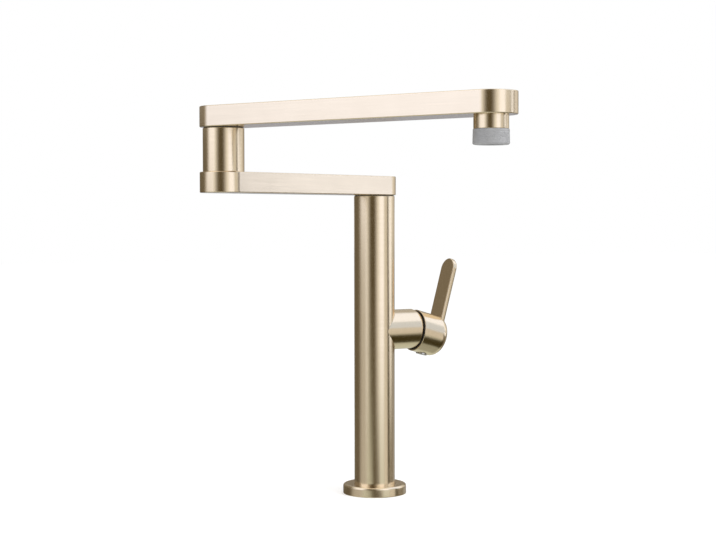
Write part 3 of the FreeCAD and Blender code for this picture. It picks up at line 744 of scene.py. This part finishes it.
@dataclass
class Lever:
    """Tilting cap of the mixer, with its black glide ring, flat blade and index plug.

    Attributes:
        place: Axes of the lever: Z runs out along its tilted axis and -X up the blade.
        rim_bend: Angle from the cap's rim axis to the cap's own axis.
        end_round: Round on the cap's far end.
        cavity_radius: Radius of the hollow over the dome.
        stem_bore_depth: How far the bore for the stem goes in from the pivot.
        ring_show: Width of the glide ring that shows between the barrel and the cap.
        ring_inner_radius: Radius of the glide ring's hollow round the pivot.
        ring_neck_inset: How far the ring's neck is set in from its outside.
        gap: Gap round the pieces that are set into the cap.
    """

    place: Place
    rim_bend: float = math.radians(7.0)
    end_round: float = 8.5 * MM
    rim_round: float = 0.3 * MM
    cavity_radius: float = 19.4 * MM
    stem_bore: float = 3.05 * MM
    stem_bore_depth: float = 27.7 * MM
    ring_show: float = 0.4 * MM
    ring_inner_radius: float = 19.2 * MM
    ring_neck_inset: float = 0.4 * MM
    blade_front_round: float = 0.8 * MM
    blade_back_round: float = 2.6 * MM
    plug_round: float = 0.35 * MM
    gap: float = 0.05 * MM

    @property
    def rim_place(self) -> Place:
        """Axes of the cap's rim: Z runs out square to the rim."""
        return out_of_barrel(closed_tilt() - self.rim_bend)

    def build(self) -> None:
        """Build the cap, the ring, the blade and the plug."""
        self.cap()
        self.glide_ring()
        self.blade()
        self.plug()

    def cap(self) -> None:
        """Round cap that bends at its rim, hollow for the dome, the ring's neck, the stem and the plug."""
        size = self.place.extent("lever_cap")
        ring = self.rim_place.extent("cap_glide_ring")
        plug = self.place.extent("index_plug")
        radius = size.high.y
        rim = ring.low.z + self.ring_show
        body = rod(radius, 0.0, size.high.z, self.end_round)
        bmesh.ops.translate(body, verts=body.verts[:], vec=((size.low.x + size.high.x) / 2, 0.0, 0.0))
        behind_rim = self.from_rim(rod(2 * radius, -2 * radius, rim))
        stem = rod(self.stem_bore, 0.0, self.stem_bore_depth)
        plug_height = (plug.low.z + plug.high.z) / 2
        plug_hole = sideways(rod(plug.high.y + self.gap, plug.low.x, 2 * radius), plug_height)
        cap = carved(body, (behind_rim, self.from_rim(self.hollow(ring)), stem, plug_hole))
        out = Vector((-math.sin(self.rim_bend), 0.0, math.cos(self.rim_bend)))
        edge = [line for line in cap.edges if all(
            abs(vert.co.dot(out) - rim) < self.gap and (vert.co - out * rim).length > radius - self.rim_round
            for vert in line.verts)]
        softened(cap, edge, self.rim_round)
        Piece("mixer_cap", self.place, "lever", "lever_cap").build(cap)

    def from_rim(self, shape: Shape) -> Shape:
        """Turn a shape from the rim's axes to the lever's axes."""
        bmesh.ops.transform(shape, matrix=Matrix.Rotation(-self.rim_bend, 4, "Y"), verts=shape.verts[:])
        return shape

    def hollow(self, ring: Extent) -> Shape:
        """Hollow of the cap: a bore for the ring's neck that ends in a ball over the dome.

        Args:
            ring: Extent of the glide ring, in the rim's axes.

        Returns:
            The hollow's shape, in the rim's axes.
        """
        neck = ring.high.y - self.ring_neck_inset + self.gap
        neck_end = ring.high.z + self.gap
        ball = math.sqrt(self.cavity_radius ** 2 - neck_end ** 2)
        profile = Profile(0.0, 0.0).to(neck, 0.0).to(neck, neck_end).to(ball, neck_end)
        return profile.sweep(-math.acos(neck_end / self.cavity_radius)).spun()

    def glide_ring(self) -> None:
        """Black ring that fills the gap between the dome and the cap."""
        size = self.rim_place.extent("cap_glide_ring")
        outer = size.high.y
        neck = outer - self.ring_neck_inset
        rim = size.low.z + self.ring_show
        inner_end = math.sqrt(self.ring_inner_radius ** 2 - size.high.z ** 2)
        start_angle = math.asin(inner_end / self.ring_inner_radius)
        end_angle = math.acos(size.low.z / self.ring_inner_radius)
        profile = Profile(outer, size.low.z).to(outer, rim).to(neck, rim).to(neck, size.high.z)
        shape = profile.to(inner_end, size.high.z).sweep(end_angle - start_angle).spun()
        Piece("glide_ring", self.rim_place, "lever", "cap_glide_ring", Slot.BLACK_PLASTIC).build(shape)

    def blade(self) -> None:
        """Flat blade with a round top."""
        low, high = self.place.extent("lever_blade").low, self.place.extent("lever_blade").high
        half_width = high.y
        shoulder = low.x + half_width
        plate = bmesh.new()
        middle = Vector((shoulder, 0.0, low.z))
        top_start, top_end = half_turn(plate, middle + Vector((0.0, half_width, 0.0)), middle)
        root_start = plate.verts.new((high.x, -half_width, low.z))
        root_end = plate.verts.new((high.x, half_width, low.z))
        joins = ((top_end, root_start), (root_start, root_end), (root_end, top_start))
        pulled_plate(plate, joins, high.z - low.z)
        softened(plate, level_edges(plate, low.z), self.blade_front_round)
        softened(plate, level_edges(plate, high.z), self.blade_back_round)
        Piece("mixer_blade", self.place, "lever", "lever_blade", lay=Lay.BLADE).build(plate)

    def plug(self) -> None:
        """Round index plug in the underside of the cap."""
        size = self.place.extent("index_plug")
        button = rod(size.high.y, size.low.x, size.high.x, self.plug_round)
        shape = sideways(button, (size.low.z + size.high.z) / 2)
        Piece("index_button", self.place, "lever", "index_plug", Slot.STEEL).build(shape)


@dataclass
class Arm:
    """Flat bar with round ends, hollow from below for its floor plate.

    Attributes:
        place: Axes of the arm, with X along it from its swivel and Z up.
        body: CAD body that it rides on, and start of the names of its nodes.
    """

    name: str
    place: Place
    body: str
    edge_round: float = 0.7 * MM
    plate_gap: float = 0.05 * MM

    def build(self) -> None:
        """Build the shell round the floor plate."""
        node = self.body + "_shell"
        size = self.place.extent(node)
        plate = self.place.extent(self.body + "_base_plate")
        radius = size.high.y
        wall = size.high.x - plate.high.x - self.plate_gap
        reach = size.high.x - radius
        height = size.high.z - size.low.z
        shell = bmesh.new()
        near_start, near_end = half_turn(shell, Vector((0.0, radius, 0.0)), Vector())
        far_start, far_end = half_turn(shell, Vector((reach, -radius, 0.0)), Vector((reach, 0.0, 0.0)))
        pulled_plate(shell, ((near_end, far_start), (far_end, near_start)), height)
        softened(shell, level_edges(shell, 0.0) + level_edges(shell, height), self.edge_round)
        floor = min(shell.faces, key=lambda face: face.calc_center_median().z)
        bmesh.ops.inset_region(shell, faces=[floor], thickness=wall - self.edge_round, use_even_offset=True)
        hollow = bmesh.ops.extrude_face_region(shell, geom=[floor])
        bmesh.ops.delete(shell, geom=[floor], context="FACES")
        bmesh.ops.translate(shell, vec=(0.0, 0.0, height - wall), verts=verts_in(hollow["geom"]))
        bmesh.ops.recalc_face_normals(shell, faces=shell.faces[:])
        Piece(self.name, self.place, self.body, node, lay=Lay.LENGTHWISE).build(shell)


@dataclass
class Elbow:
    """Round sleeve between the arms, with the washer that the upper arm turns on."""

    place: Place
    wall: float = 1.4 * MM
    edge_round: float = 0.4 * MM
    washer_wall: float = 6.5 * MM

    def build(self) -> None:
        """Build the sleeve and the washer."""
        size = self.place.extent("elbow_sleeve")
        radius = size.high.x
        bore = radius - self.wall
        profile = Profile(bore, size.low.z).to(radius, size.low.z, self.edge_round)
        profile.to(radius, size.high.z, self.edge_round).to(bore, size.high.z)
        Piece("elbow_body", self.place, "lower_arm", "elbow_sleeve").build(profile.spun())
        washer = flat_ring(self.place.extent("elbow_thrust_washer"), self.washer_wall)
        Piece("elbow_washer", self.place, "lower_arm", "elbow_thrust_washer", Slot.GREY_PLASTIC).build(washer)


@dataclass
class Spout:
    """Nozzle ring under the upper arm's end, and the grey aerator in it.

    Attributes:
        thread_radius: Radius of the aerator's thread.
        stem_radius: Radius of the brass stem inside the nozzle.
        top_radius: Radius of the aerator under the nozzle.
        core_radius: Radius of the hollow for the aerator's core.
        lip_width: Width of the lip that holds the core.
        rib_depth: Depth of the grooves between the soft grip ribs.
    """

    place: Place
    nozzle_round: float = 0.4 * MM
    thread_radius: float = 11.0 * MM
    stem_radius: float = 9.0 * MM
    bore_gap: float = 0.05 * MM
    top_radius: float = 12.95 * MM
    top_round: float = 0.35 * MM
    foot_round: float = 1.4 * MM
    core_radius: float = 9.05 * MM
    lip_width: float = 0.65 * MM
    lip_height: float = 1.5 * MM
    rib_count: int = 6
    rib_depth: float = 0.12 * MM

    def build(self) -> None:
        """Build the nozzle and the aerator."""
        self.nozzle()
        self.aerator()

    def nozzle(self) -> None:
        """Nozzle ring, bored for the brass stem and the aerator's thread."""
        size = self.place.extent("spout_nozzle")
        step = self.place.extent("aerator_washer").high.z
        bore = self.stem_radius + self.bore_gap
        profile = Profile(bore, size.high.z).to(size.high.x, size.high.z)
        profile.to(size.high.x, size.low.z, self.nozzle_round).to(self.thread_radius, size.low.z)
        profile.to(self.thread_radius, step).to(bore, step)
        Piece("spout_ring", self.place, "upper_arm", "spout_nozzle").build(profile.spun())

    def aerator(self) -> None:
        """Flared silicone aerator with soft grip ribs, a rounded foot and a threaded neck."""
        size = self.place.extent("aerator_housing")
        shoulder = self.place.extent("spout_nozzle").low.z
        foot = size.low.z
        flare = (size.high.x - self.top_radius) / (shoulder - foot)
        pitch = (shoulder - foot - 2 * self.foot_round) / self.rib_count
        groove_half, groove_round = pitch / 4, pitch / 8
        neck = self.thread_radius - self.bore_gap
        lip = self.core_radius - self.lip_width
        lip_top = foot + self.lip_height
        profile = Profile(neck, size.high.z).to(neck, shoulder).to(self.top_radius, shoulder, self.top_round)
        for rib in range(self.rib_count):
            groove = shoulder - self.foot_round - (rib + 0.5) * pitch
            radius = self.top_radius + flare * (shoulder - groove)
            profile.to(radius, groove + groove_half, groove_round)
            profile.to(radius - self.rib_depth, groove, groove_round)
            profile.to(radius, groove - groove_half, groove_round)
        profile.to(size.high.x, foot, self.foot_round).to(lip, foot).to(lip, lip_top)
        profile.to(self.core_radius, lip_top).to(self.core_radius, size.high.z)
        skirt = Piece("aerator_skirt", self.place, "upper_arm", "aerator_housing", Slot.SILICONE)
        skirt.build(profile.spun())


def dress(place: Place, slot: Slot, *nodes: str, lay: Lay = Lay.TURNED) -> None:
    """Give a better finish to CAD nodes that stay as they are.

    Args:
        place: Axes that the finish follows.
        slot: Material slot and finish.
        *nodes: Names of the nodes.
        lay: Way that the brush lines run.
    """
    for node in nodes:
        mesh = frame["nodes"][node].data
        mesh.materials.clear()
        mesh.materials.append(FINISHES[slot].material(node + "_finish", place, lay))
        log.info("%s is dressed as %s", node, slot.value)


# Studio


@dataclass(frozen=True)
class Flag:
    """Soft-edged card far from the object, which only its reflections show.

    Attributes:
        bearing: Middle of the card, in degrees round Z from the camera's side.
        half_width: Half the angle that the card covers, in degrees.
        feather: Angle over which its sides fade, in degrees.
        distance: Distance of the card from the object, so that no two cards meet.
        low: Lowest height at which the card is whole, as a share of its distance.
        high: Highest such height.
        fade: Height over which its ends fade, as a share of its distance.
    """

    name: str
    bearing: float
    half_width: float
    feather: float
    tone: Colour
    distance: float
    low: float = -0.5
    high: float = 1.0
    fade: float = 0.3

    @property
    def foot(self) -> float:
        """Height at which the card starts."""
        return (self.low - self.fade) * self.distance

    @property
    def head(self) -> float:
        """Height at which the card ends."""
        return (self.high + self.fade) * self.distance

    def build(self, camera_bearing: float) -> None:
        """Build the card round the object.

        Args:
            camera_bearing: Angle round Z of the camera, in radians.
        """
        bearing = camera_bearing + math.radians(self.bearing)
        reach = math.radians(min(self.half_width + self.feather, FULL_TURN / 2))
        card = bmesh.new()
        ends = [card.verts.new((self.distance, 0.0, height)) for height in (self.foot, self.head)]
        edge = card.edges.new(ends)
        bmesh.ops.rotate(card, verts=ends, cent=ORIGIN, matrix=Matrix.Rotation(bearing - reach, 3, "Z"))
        swept(card, [*ends, edge], 2 * reach, END_STEPS)
        made = object_from(self.name, card)
        made.data.materials.append(self.material(bearing))
        for ray in ("camera", "diffuse", "transmission", "shadow"):
            setattr(made, "visible_" + ray, False)
        made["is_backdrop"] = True

    def material(self, bearing: float) -> bpy.types.Material:
        """Card that fades out at its sides and ends.

        Args:
            bearing: Angle round Z of the card's middle in the CAD frame, in radians.

        Returns:
            The material.
        """
        tree = Tree(bpy.data.materials.new(self.name))
        point = tree.local({"Rotation": (0.0, 0.0, bearing)})
        angle = tree.add("TexGradient", {"Vector": point}, gradient_type="RADIAL").outputs["Fac"]
        height = tree.add("SeparateXYZ", {"Vector": point}).outputs["Z"]
        off_middle = tree.sums("ABSOLUTE", tree.sums("SUBTRACT", angle, 0.5))
        sides = (self.half_width / FULL_TURN, (self.half_width + self.feather) / FULL_TURN)
        across = tree.spread(off_middle, sides, FALLING, "SMOOTHSTEP")
        rising = tree.spread(height, (self.foot, self.low * self.distance), RISING, "SMOOTHSTEP")
        falling = tree.spread(height, (self.high * self.distance, self.head), FALLING, "SMOOTHSTEP")
        mask = tree.sums("MULTIPLY", across, tree.sums("MULTIPLY", rising, falling))
        clear = tree.add("BsdfTransparent").outputs[0]
        glow = tree.add("Emission", {"Color": (*self.tone, 1.0)}).outputs[0]
        return tree.surface("MixShader", {"Fac": mask, 1: clear, 2: glow})


def seen(tree: Tree) -> Socket:
    """Mask that is 1 for rays from the camera, a gloss or glass, and 0 for the rest."""
    path = tree.add("LightPath").outputs
    return tree.sums("MAXIMUM", path["Is Transmission Ray"],
                     tree.sums("MAXIMUM", path["Is Camera Ray"], path["Is Glossy Ray"]))


@dataclass
class Studio:
    """Camera, floor, lamps and reflected cards.

    Attributes:
        azimuth: Angle round Z at which the camera looks, clockwise from +Y, in radians.
        distance: Level distance from the camera to the column's axis.
        sideways: How far the camera stands to the right of the column.
        floor_glow: Light that the floor gives where it is seen.
        fill: Strength of the world's light where the world isn't seen.
    """

    lens: float = 76.2
    azimuth: float = math.radians(32.0)
    pitch: float = math.radians(1.88)
    roll: float = math.radians(-0.1)
    distance: float = 1341 * MM
    height: float = 242 * MM
    sideways: float = -14.5 * MM
    floor_size: float = 14.0
    floor_drop: float = 0.05 * MM
    floor_tint: Colour = (0.88, 0.88, 0.88)
    floor_glow: float = 0.27
    fill: float = 0.85

    @property
    def camera_bearing(self) -> float:
        """Angle round Z of the way from the column to the camera, in radians."""
        return -math.pi / 2 - self.azimuth

    def build(self) -> None:
        """Set up the whole studio."""
        self.camera()
        self.floor()
        self.world()
        self.lamps()
        self.flags()

    def camera(self) -> None:
        """Camera at the photograph's viewing angle."""
        data = bpy.data.cameras.new("camera")
        data.lens = self.lens
        level = Matrix.Rotation(-self.azimuth, 4, "Z")
        spot = Matrix.Translation((self.sideways, -self.distance, self.height))
        tilt = Matrix.Rotation(math.pi / 2 - self.pitch, 4, "X")
        made = linked("camera", data)
        made.matrix_world = level @ spot @ tilt @ Matrix.Rotation(self.roll, 4, "Z")
        bpy.context.scene.camera = made

    def floor(self) -> None:
        """Pale floor that keeps the object's soft shadow and meets the backdrop without a line."""
        sheet = bmesh.new()
        bmesh.ops.create_grid(sheet, x_segments=1, y_segments=1, size=self.floor_size / 2)
        bmesh.ops.translate(sheet, verts=sheet.verts[:], vec=(0.0, 0.0, -self.floor_drop))
        tree = Tree(bpy.data.materials.new("pale_floor"))
        paint = tree.add("BsdfDiffuse", {"Color": (*self.floor_tint, 1.0)}).outputs[0]
        strength = tree.sums("MULTIPLY", seen(tree), self.floor_glow)
        glow = tree.add("Emission", {"Strength": strength}).outputs[0]
        made = object_from("floor", sheet)
        made.data.materials.append(tree.surface("AddShader", {0: paint, 1: glow}))
        made.visible_glossy = False
        made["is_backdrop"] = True

    def world(self) -> None:
        """World that is white where it is seen and a soft fill for the rest."""
        world = bpy.data.worlds.new("studio")
        bpy.context.scene.world = world
        tree = Tree(world, "OutputWorld")
        level = tree.spread(seen(tree), RISING, (self.fill, 1.0))
        tree.surface("Background", {"Color": (1.0, 1.0, 1.0, 1.0), "Strength": level})

    def lamps(self) -> None:
        """Large soft lamps that face the object, from above and from the right."""
        low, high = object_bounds()
        for name, bearing, lift, distance, size, watts in (
            ("top_lamp", 20, 75, 1.9, 1.6, 9.0),
            ("right_lamp", 60, 25, 2.0, 1.2, 12.0),
        ):
            turn = Euler((0.0, -math.radians(lift), self.camera_bearing + math.radians(bearing)))
            away = turn.to_matrix() @ Vector((1.0, 0.0, 0.0))
            light = bpy.data.lights.new(name, "AREA")
            light.shape = "DISK"
            light.size = size
            light.energy = watts
            made = linked(name, light)
            made.location = (low + high) / 2 + away * distance
            made.rotation_euler = away.to_track_quat("Z", "Y").to_euler()
            made.visible_glossy = False

    def flags(self) -> None:
        """Cards that give the metal its dark and bright bands."""
        black, dusk, deep = (0.05, 0.04, 0.014), (0.095, 0.073, 0.037), (0.10, 0.08, 0.05)
        umber, brown, smoke = (0.145, 0.12, 0.08), (0.20, 0.17, 0.125), (0.34, 0.355, 0.42)
        ash, shade, grey, net = (0.36, 0.35, 0.33), (0.5, 0.48, 0.44), (0.6, 0.57, 0.53), (0.70, 0.67, 0.62)
        white, cool, sky = (1.21, 1.25, 1.42), (1.2, 1.24, 1.37), (0.70, 0.78, 0.93)
        moss, olive, high_white = (0.35, 0.36, 0.30), (0.61, 0.64, 0.56), (1.12, 1.2, 1.42)
        for flag in (
            # Name, bearing, half width, feather, tone, distance, low, high and fade
            Flag("camera_card", -11, 7, 32, dusk, 4.4, -0.1, 2.4, 0.06),
            Flag("foot_card", 1, 11, 22, dusk, 4.45, -0.155, -0.14, 0.02),
            Flag("toe_card", 9, 9, 20, dusk, 4.42, -0.6, -0.17, 0.015),
            Flag("hem_card", -130, 27, 18, deep, 4.35, -0.6, -0.172, 0.012),
            Flag("tip_strip", 106, 5, 8, brown, 4.25, 0.13, 0.19, 0.008),
            Flag("end_card", 142, 12, 10, brown, 4.3, -0.62, -0.26, 0.05),
            Flag("left_card", -124, 20, 34, umber, 4.5, -0.13, 0.12, 0.1),
            Flag("blade_card", -124, 20, 34, brown, 4.55, 0.22, 0.9, 0.1),
            Flag("back_card", 180, 15, 12, smoke, 4.6, -0.3, 0.022, 0.012),
            Flag("deck_card", 180, 22, 14, brown, 4.65, 0.1, 0.3, 0.06),
            Flag("crest_card", 175, 20, 20, shade, 4.75, 0.45, 1.2, 0.2),
            Flag("right_strip", 82, 3, 5, black, 4.7, 0.02, 0.12, 0.01),
            Flag("low_strip", 86, 4, 6, black, 4.72, -0.2, 0.0, 0.02),
            Flag("right_glow", 78, 16, 12, sky, 4.8, 0.24, 0.72, 0.1),
            Flag("right_net", 70, 9, 9, net, 4.9, -0.2, 0.3, 0.2),
            Flag("floor_card", 76, 26, 20, black, 5.0, -1.5, -0.58),
            Flag("right_shade", 98, 16, 24, brown, 5.1, -0.8, -0.17, 0.13),
            Flag("left_shade", -84, 24, 26, shade, 5.2, -0.6, 0.02, 0.06),
            Flag("pit", 0, 180, 1, moss, 5.3, -4.0, -2.0, 0.7),
            Flag("skirt", 0, 180, 1, olive, 5.4, -3.0, -0.16, 0.1),
            Flag("back_net", 148, 14, 20, grey, 5.5, -0.1, 0.3),
            Flag("top_light", 120, 40, 20, high_white, 5.6, 0.75, 1.8),
            Flag("left_light", -66, 14, 14, white, 5.7),
            Flag("right_light", 43, 8, 12, white, 5.8),
            Flag("side_light", 95, 10, 12, cool, 5.9, 0.0, 1.0, 0.12),
            Flag("side_net", 140, 18, 16, ash, 5.35, -0.2, 0.0, 0.03),
        ):
            flag.build(self.camera_bearing)


# Order of work


class Layout:
    """Axes of the sub-assemblies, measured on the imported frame."""

    def __init__(self) -> None:
        """Read the joints' places and the nozzle's."""
        swivel, bend = joint_spot("lower_arm_swivel"), joint_spot("elbow_swivel")
        nozzle_low, nozzle_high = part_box("spout_nozzle")
        outlet = (nozzle_low + nozzle_high) / 2
        self.column = upright()
        self.barrel = out_of_barrel()
        self.lever = out_of_barrel(closed_tilt())
        self.lower = upright(swivel, heading(swivel, bend))
        self.upper = upright(bend, heading(bend, outlet))
        self.elbow = upright((bend.x, bend.y, 0.0))
        self.spout = upright((outlet.x, outlet.y, bend.z))

    def dress_inside(self) -> None:
        """Dress the CAD nodes that stay, on the axes of the sub-assembly that holds them."""
        column, barrel, spout = self.column, self.barrel, self.spout
        dress(column, Slot.RUBBER, "base_gasket", "lower_arm_o_rings")
        dress(column, Slot.BRASS, "base_insert", "column_head", "head_adapter", "lower_arm_spigot")
        dress(column, Slot.COPPER, "hot_inlet_pipe", "cold_inlet_pipe", "outlet_pipe")
        dress(column, Slot.STEEL, "lower_arm_clip")
        dress(barrel, Slot.BRASS, "valve_manifold", "cartridge_nut")
        dress(barrel, Slot.WHITE_PLASTIC, "cartridge_base", "cartridge_shell", "cartridge_rotor")
        dress(barrel, Slot.WHITE_PLASTIC, "disc_carrier")
        dress(barrel, Slot.RUBBER, "cartridge_seals")
        dress(barrel, Slot.CERAMIC, "fixed_disc", "moving_disc")
        dress(barrel, Slot.STEEL, "stem_pin")
        dress(self.lever, Slot.BRASS, "lever_stem")
        dress(self.lever, Slot.STEEL, "cap_grub_screw")
        for place, arm in ((self.lower, "lower_arm"), (self.upper, "upper_arm")):
            dress(place, Slot.GOLD, arm + "_base_plate", lay=Lay.LENGTHWISE)
            dress(place, Slot.COPPER, arm + "_tube", lay=Lay.LENGTHWISE)
        dress(self.elbow, Slot.BRASS, "elbow_base", "elbow_socket", "upper_arm_spigot")
        dress(self.elbow, Slot.RUBBER, "upper_arm_o_rings")
        dress(self.elbow, Slot.STEEL, "elbow_clamp_screw", "upper_arm_clip")
        dress(spout, Slot.BRASS, "spout_outlet")
        dress(spout, Slot.RUBBER, "aerator_washer")
        dress(spout, Slot.WHITE_PLASTIC, "aerator_core")
        dress(spout, Slot.STEEL, "aerator_screen")


def main(cad_box: Optional[tuple[Vector, Vector]] = None) -> None:
    """Build the studio, the sub-assemblies and the finishes in order.

    Args:
        cad_box: Lowest and highest corner of the CAD model; not used.
    """
    logging.basicConfig(level=logging.INFO, format="%(name)s: %(message)s")
    bpy.context.scene.view_settings.view_transform = "Standard"
    Studio().build()

    at = Layout()
    Base(at.column).build()
    Column(at.column, at.barrel).build()
    Lever(at.lever).build()
    Arm("lower_bar", at.lower, "lower_arm").build()
    Elbow(at.elbow).build()
    Arm("upper_bar", at.upper, "upper_arm").build()
    Spout(at.spout).build()
    at.dress_inside()


if __name__ == "__main__":
    main(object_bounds())
